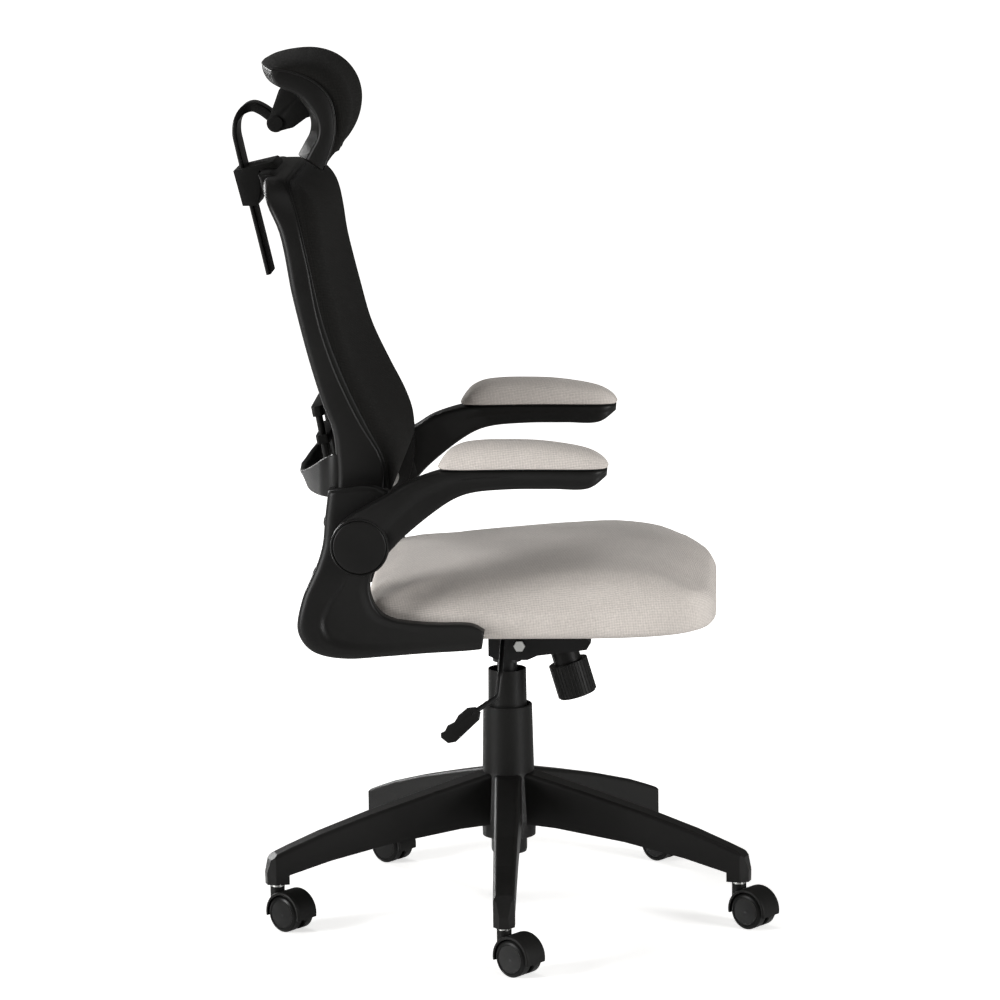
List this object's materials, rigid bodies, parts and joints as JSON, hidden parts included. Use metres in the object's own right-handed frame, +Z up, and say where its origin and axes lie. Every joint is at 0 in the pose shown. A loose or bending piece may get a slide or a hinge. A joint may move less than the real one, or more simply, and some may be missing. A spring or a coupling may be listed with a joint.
{
  "type": "office chair",
  "caption": "High-back mesh office armchair: swivel star base on casters, gas lift, tilt, flip-up arms, headrest.",
  "frame": {"origin": "on the floor, on the axis of the gas column", "axes": "+X the way the sitter faces, +Y the sitter's left, +Z up"},
  "size_m": [0.7397, 0.6938, 1.2056],
  "materials": {
    "grey_fabric": "woven",
    "black_mesh": "knitted",
    "black_plastic": "fine grain",
    "satin_plastic": "satin",
    "wheel_plastic": "satin",
    "black_steel": "semi-gloss",
    "zinc_steel": "zinc plated",
    "chrome": "polished",
    "plywood": "raw"
  },
  "bodies": {
    "base": {"base_star": "satin_plastic", "standpipe": "black_steel", "guide_bush": "black_plastic", "thrust_bearing": "zinc_steel", "cover_lower": "black_plastic"},
    "sleeve": {"cover_upper": "black_plastic"},
    "piston": {"piston_rod": "chrome", "retaining_clip": "zinc_steel"},
    "mechanism": {"gas_cylinder": "black_steel", "mechanism_housing": "black_steel", "tilt_shaft": "zinc_steel", "spring_housing": "black_plastic", "tension_spring": "zinc_steel"},
    "valve": {"release_pin": "zinc_steel"},
    "knob": {"tension_knob": "black_plastic", "tension_bolt": "zinc_steel"},
    "lever_pivot": {"lever_bush": "black_plastic"},
    "lever": {"lift_lever": "black_steel", "lever_handle": "black_plastic"},
    "seat": {"seat_plate": "black_steel", "seat_pan": "plywood", "seat_cushion": "grey_fabric", "seat_bolts": "zinc_steel", "bracket_left": "satin_plastic", "bracket_right": "satin_plastic", "arm_pin_left": "zinc_steel", "arm_pin_right": "zinc_steel", "back_frame": "satin_plastic", "mesh_rim": "black_plastic", "back_mesh": "black_mesh", "lumbar_posts": "black_plastic", "headrest_clamp": "black_plastic"},
    "arm_left": {"arm_left": "satin_plastic", "pivot_cap_left": "satin_plastic", "arm_pad_left": "grey_fabric"},
    "arm_right": {"arm_right": "satin_plastic", "pivot_cap_right": "satin_plastic", "arm_pad_right": "grey_fabric"},
    "lumbar": {"lumbar_slider": "black_plastic", "lumbar_pad": "black_plastic"},
    "headrest_post": {"headrest_stem": "satin_plastic", "headrest_pin": "black_plastic"},
    "headrest": {"headrest_yoke": "black_plastic", "headrest_shell": "black_plastic", "headrest_pad": "black_mesh"},
    "caster_1": {"caster_hood_1": "black_plastic", "caster_stem_1": "zinc_steel"},
    "wheels_1": {"caster_wheels_1": "wheel_plastic"},
    "caster_2": {"caster_hood_2": "black_plastic", "caster_stem_2": "zinc_steel"},
    "wheels_2": {"caster_wheels_2": "wheel_plastic"},
    "caster_3": {"caster_hood_3": "black_plastic", "caster_stem_3": "zinc_steel"},
    "wheels_3": {"caster_wheels_3": "wheel_plastic"},
    "caster_4": {"caster_hood_4": "black_plastic", "caster_stem_4": "zinc_steel"},
    "wheels_4": {"caster_wheels_4": "wheel_plastic"},
    "caster_5": {"caster_hood_5": "black_plastic", "caster_stem_5": "zinc_steel"},
    "wheels_5": {"caster_wheels_5": "wheel_plastic"}
  },
  "joints": [
    {"name": "column_swivel", "type": "hinge", "parent": "base", "child": "piston", "pos_m": [0, 0, 0.09], "axis": [0, 0, 1], "continuous": true},
    {"name": "gas_lift", "type": "slide", "parent": "piston", "child": "mechanism", "axis": [0, 0, 1], "range_m": [-0.06, 0.02]},
    {"name": "sleeve_slide", "type": "slide", "parent": "base", "child": "sleeve", "axis": [0, 0, 1], "range_m": [-0.045, 0.015]},
    {"name": "lever_lift", "type": "hinge", "parent": "mechanism", "child": "lever_pivot", "pos_m": [0, -0.035, 0.409], "axis": [-1, 0, 0], "range_deg": [0, 7], "stiffness_Nm_per_rad": 2, "springref_deg": -5.73},
    {"name": "tilt_lock_pull", "type": "slide", "parent": "lever_pivot", "child": "lever", "axis": [0, -1, 0], "range_m": [0, 0.012]},
    {"name": "valve_press", "type": "slide", "parent": "mechanism", "child": "valve", "axis": [0, 0, 1], "range_m": [-0.0045, 0]},
    {"name": "tension_turn", "type": "hinge", "parent": "mechanism", "child": "knob", "pos_m": [0.0845, 0, 0.3505], "axis": [-0.2807, 0, 0.9598], "range_deg": [-720, 720]},
    {"name": "seat_tilt", "type": "hinge", "parent": "mechanism", "child": "seat", "pos_m": [0.0195, 0, 0.382], "axis": [0, -1, 0], "range_deg": [0, 15], "stiffness_Nm_per_rad": 140, "springref_deg": -20.05},
    {"name": "arm_left_flip", "type": "hinge", "parent": "seat", "child": "arm_left", "pos_m": [-0.179, 0.286, 0.569], "axis": [0, -1, 0], "range_deg": [0, 90]},
    {"name": "arm_right_flip", "type": "hinge", "parent": "seat", "child": "arm_right", "pos_m": [-0.179, -0.286, 0.569], "axis": [0, -1, 0], "range_deg": [0, 90]},
    {"name": "lumbar_slide", "type": "slide", "parent": "seat", "child": "lumbar", "axis": [-0.1736, 0, 0.9848], "range_m": [-0.018, 0.02]},
    {"name": "headrest_height", "type": "slide", "parent": "seat", "child": "headrest_post", "axis": [-0.2181, 0, 0.9759], "range_m": [0, 0.06]},
    {"name": "headrest_tilt", "type": "hinge", "parent": "headrest_post", "child": "headrest", "pos_m": [-0.304, 0, 1.105], "axis": [0, -1, 0], "range_deg": [-4, 25]},
    {"name": "caster_swivel_1", "type": "hinge", "parent": "base", "child": "caster_1", "pos_m": [0.0076, -0.33491, 0.06], "axis": [0, 0, 1], "continuous": true},
    {"name": "caster_roll_1", "type": "hinge", "parent": "caster_1", "child": "wheels_1", "pos_m": [0.02743, -0.34997, 0.025], "axis": [0.6046, 0.7965, 0], "continuous": true},
    {"name": "caster_swivel_2", "type": "hinge", "parent": "base", "child": "caster_2", "pos_m": [0.32087, -0.09627, 0.06], "axis": [0, 0, 1], "continuous": true},
    {"name": "caster_roll_2", "type": "hinge", "parent": "caster_2", "child": "wheels_2", "pos_m": [0.3407, -0.11132, 0.025], "axis": [0.6046, 0.7965, 0], "continuous": true},
    {"name": "caster_swivel_3", "type": "hinge", "parent": "base", "child": "caster_3", "pos_m": [0.19071, 0.27542, 0.06], "axis": [0, 0, 1], "continuous": true},
    {"name": "caster_roll_3", "type": "hinge", "parent": "caster_3", "child": "wheels_3", "pos_m": [0.21054, 0.26036, 0.025], "axis": [0.6046, 0.7965, 0], "continuous": true},
    {"name": "caster_swivel_4", "type": "hinge", "parent": "base", "child": "caster_4", "pos_m": [-0.20301, 0.26648, 0.06], "axis": [0, 0, 1], "continuous": true},
    {"name": "caster_roll_4", "type": "hinge", "parent": "caster_4", "child": "wheels_4", "pos_m": [-0.18317, 0.25143, 0.025], "axis": [0.6046, 0.7965, 0], "continuous": true},
    {"name": "caster_swivel_5", "type": "hinge", "parent": "base", "child": "caster_5", "pos_m": [-0.31617, -0.11072, 0.06], "axis": [0, 0, 1], "continuous": true},
    {"name": "caster_roll_5", "type": "hinge", "parent": "caster_5", "child": "wheels_5", "pos_m": [-0.29634, -0.12578, 0.025], "axis": [0.6046, 0.7965, 0], "continuous": true}
  ],
  "couplings": [
    {"joint": "sleeve_slide", "follows": "gas_lift", "ratio": 0.75},
    {"joint": "valve_press", "follows": "lever_lift", "m_per_rad": -0.035}
  ]
}
